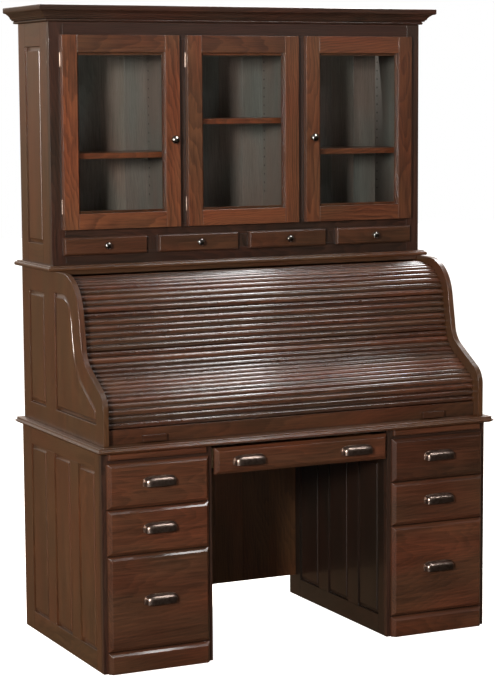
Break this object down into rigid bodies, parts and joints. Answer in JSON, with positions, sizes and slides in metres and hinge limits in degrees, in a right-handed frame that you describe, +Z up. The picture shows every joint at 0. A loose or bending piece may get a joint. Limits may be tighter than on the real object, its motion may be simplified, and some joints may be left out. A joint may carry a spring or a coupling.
{
  "type": "roll top desk",
  "caption": "Wooden roll top desk: drawer pedestals, slatted curtain that lifts and folds away over the writing surface, and a glazed hutch with small drawers.",
  "frame": {"origin": "middle of the footprint box, on the floor", "axes": "+Z up, +Y from the drawer fronts to the back, +X to the right of a person sitting at the desk"},
  "size_m": [1.558, 0.8274, 2.229],
  "materials": {
    "carcass_wood": "dark reddish-brown stain under satin lacquer",
    "front_wood": "reddish-brown stain with visible grain, satin lacquer",
    "slat_wood": "reddish-brown stain, satin lacquer, on dark canvas",
    "interior_wood": "brown stain, matt lacquer",
    "pull_metal": "dark antiqued bronze, polished on the high edges",
    "pane_glass": "clear float glass"
  },
  "bodies": {
    "desk": {"left_outer_side": "carcass_wood", "left_inner_side": "carcass_wood", "left_pedestal_back": "carcass_wood", "left_face_frame": "carcass_wood", "right_outer_side": "carcass_wood", "right_inner_side": "carcass_wood", "right_pedestal_back": "carcass_wood", "right_face_frame": "carcass_wood", "modesty_panel": "carcass_wood", "desk_top": "carcass_wood", "left_roll_side": "carcass_wood", "right_roll_side": "carcass_wood", "roll_back": "carcass_wood", "deck_board": "carcass_wood", "organiser": "interior_wood", "left_hutch_side": "carcass_wood", "right_hutch_side": "carcass_wood", "hutch_back": "carcass_wood", "hutch_face_frame": "carcass_wood", "crown": "carcass_wood", "hutch_deck": "carcass_wood", "left_partition": "interior_wood", "right_partition": "interior_wood", "left_shelf": "interior_wood", "middle_shelf": "interior_wood", "right_shelf": "interior_wood"},
    "left_top_drawer": {"left_top_drawer": "front_wood", "left_top_pull": "pull_metal"},
    "left_middle_drawer": {"left_middle_drawer": "front_wood", "left_middle_pull": "pull_metal"},
    "left_bottom_drawer": {"left_bottom_drawer": "front_wood", "left_bottom_pull": "pull_metal"},
    "left_writing_board": {"left_writing_board": "front_wood"},
    "right_top_drawer": {"right_top_drawer": "front_wood", "right_top_pull": "pull_metal"},
    "right_middle_drawer": {"right_middle_drawer": "front_wood", "right_middle_pull": "pull_metal"},
    "right_bottom_drawer": {"right_bottom_drawer": "front_wood", "right_bottom_pull": "pull_metal"},
    "right_writing_board": {"right_writing_board": "front_wood"},
    "knee_drawer": {"knee_drawer": "front_wood", "knee_left_pull": "pull_metal", "knee_right_pull": "pull_metal"},
    "hutch_drawer_1": {"hutch_drawer_1": "front_wood"},
    "hutch_drawer_2": {"hutch_drawer_2": "front_wood"},
    "hutch_drawer_3": {"hutch_drawer_3": "front_wood"},
    "hutch_drawer_4": {"hutch_drawer_4": "front_wood"},
    "left_door": {"left_door": "front_wood", "left_glass": "pane_glass"},
    "middle_door": {"middle_door": "front_wood", "middle_glass": "pane_glass"},
    "right_door": {"right_door": "front_wood", "right_glass": "pane_glass"},
    "lift_rail": {"lift_rail": "front_wood", "tambour_1": "slat_wood"},
    "tambour_2": {"tambour_2": "slat_wood"},
    "tambour_3": {"tambour_3": "slat_wood"},
    "tambour_4": {"tambour_4": "slat_wood"},
    "tambour_5": {"tambour_5": "slat_wood"},
    "tambour_6": {"tambour_6": "slat_wood"}
  },
  "joints": [
    {"name": "left_top_drawer_slide", "type": "slide", "parent": "desk", "child": "left_top_drawer", "axis": [0, -1, 0], "range_m": [0, 0.45]},
    {"name": "left_middle_drawer_slide", "type": "slide", "parent": "desk", "child": "left_middle_drawer", "axis": [0, -1, 0], "range_m": [0, 0.45]},
    {"name": "left_bottom_drawer_slide", "type": "slide", "parent": "desk", "child": "left_bottom_drawer", "axis": [0, -1, 0], "range_m": [0, 0.45]},
    {"name": "left_writing_board_slide", "type": "slide", "parent": "desk", "child": "left_writing_board", "axis": [0, -1, 0], "range_m": [0, 0.4]},
    {"name": "right_top_drawer_slide", "type": "slide", "parent": "desk", "child": "right_top_drawer", "axis": [0, -1, 0], "range_m": [0, 0.45]},
    {"name": "right_middle_drawer_slide", "type": "slide", "parent": "desk", "child": "right_middle_drawer", "axis": [0, -1, 0], "range_m": [0, 0.45]},
    {"name": "right_bottom_drawer_slide", "type": "slide", "parent": "desk", "child": "right_bottom_drawer", "axis": [0, -1, 0], "range_m": [0, 0.45]},
    {"name": "right_writing_board_slide", "type": "slide", "parent": "desk", "child": "right_writing_board", "axis": [0, -1, 0], "range_m": [0, 0.4]},
    {"name": "knee_drawer_slide", "type": "slide", "parent": "desk", "child": "knee_drawer", "axis": [0, -1, 0], "range_m": [0, 0.35]},
    {"name": "hutch_drawer_1_slide", "type": "slide", "parent": "desk", "child": "hutch_drawer_1", "axis": [0, -1, 0], "range_m": [0, 0.2]},
    {"name": "hutch_drawer_2_slide", "type": "slide", "parent": "desk", "child": "hutch_drawer_2", "axis": [0, -1, 0], "range_m": [0, 0.2]},
    {"name": "hutch_drawer_3_slide", "type": "slide", "parent": "desk", "child": "hutch_drawer_3", "axis": [0, -1, 0], "range_m": [0, 0.2]},
    {"name": "hutch_drawer_4_slide", "type": "slide", "parent": "desk", "child": "hutch_drawer_4", "axis": [0, -1, 0], "range_m": [0, 0.2]},
    {"name": "left_door_hinge", "type": "hinge", "parent": "desk", "child": "left_door", "pos_m": [-0.692, 0.08165, 1.793], "axis": [0, 0, -1], "range_deg": [0, 105]},
    {"name": "middle_door_hinge", "type": "hinge", "parent": "desk", "child": "middle_door", "pos_m": [-0.222, 0.08165, 1.793], "axis": [0, 0, -1], "range_deg": [0, 95]},
    {"name": "right_door_hinge", "type": "hinge", "parent": "desk", "child": "right_door", "pos_m": [0.692, 0.08165, 1.793], "axis": [0, 0, 1], "range_deg": [0, 105]},
    {"name": "curtain_lift", "type": "hinge", "parent": "desk", "child": "lift_rail", "pos_m": [0, 0.1041, 0.84055], "axis": [-1, 0, 0], "range_deg": [0, 90]},
    {"name": "tambour_2_fold", "type": "hinge", "parent": "lift_rail", "child": "tambour_2", "pos_m": [0, -0.31931, 0.9044], "axis": [-1, 0, 0], "range_deg": [-44.63, 0]},
    {"name": "tambour_3_fold", "type": "hinge", "parent": "tambour_2", "child": "tambour_3", "pos_m": [0, -0.1869, 0.98391], "axis": [-1, 0, 0], "range_deg": [0, 99.64]},
    {"name": "tambour_4_fold", "type": "hinge", "parent": "tambour_3", "child": "tambour_4", "pos_m": [0, -0.14059, 1.0572], "axis": [-1, 0, 0], "range_deg": [0, 24.72]},
    {"name": "tambour_5_fold", "type": "hinge", "parent": "tambour_4", "child": "tambour_5", "pos_m": [0, -0.11703, 1.18712], "axis": [-1, 0, 0], "range_deg": [-12.39, 0]},
    {"name": "tambour_6_fold", "type": "hinge", "parent": "tambour_5", "child": "tambour_6", "pos_m": [0, -0.06828, 1.25765], "axis": [-1, 0, 0], "range_deg": [-29.04, 0]}
  ],
  "couplings": [
    {"joint": "tambour_2_fold", "follows": "curtain_lift", "ratio": -0.4958},
    {"joint": "tambour_3_fold", "follows": "curtain_lift", "ratio": 1.107},
    {"joint": "tambour_4_fold", "follows": "curtain_lift", "ratio": 0.27461},
    {"joint": "tambour_5_fold", "follows": "curtain_lift", "ratio": -0.13753},
    {"joint": "tambour_6_fold", "follows": "curtain_lift", "ratio": -0.32253}
  ]
}
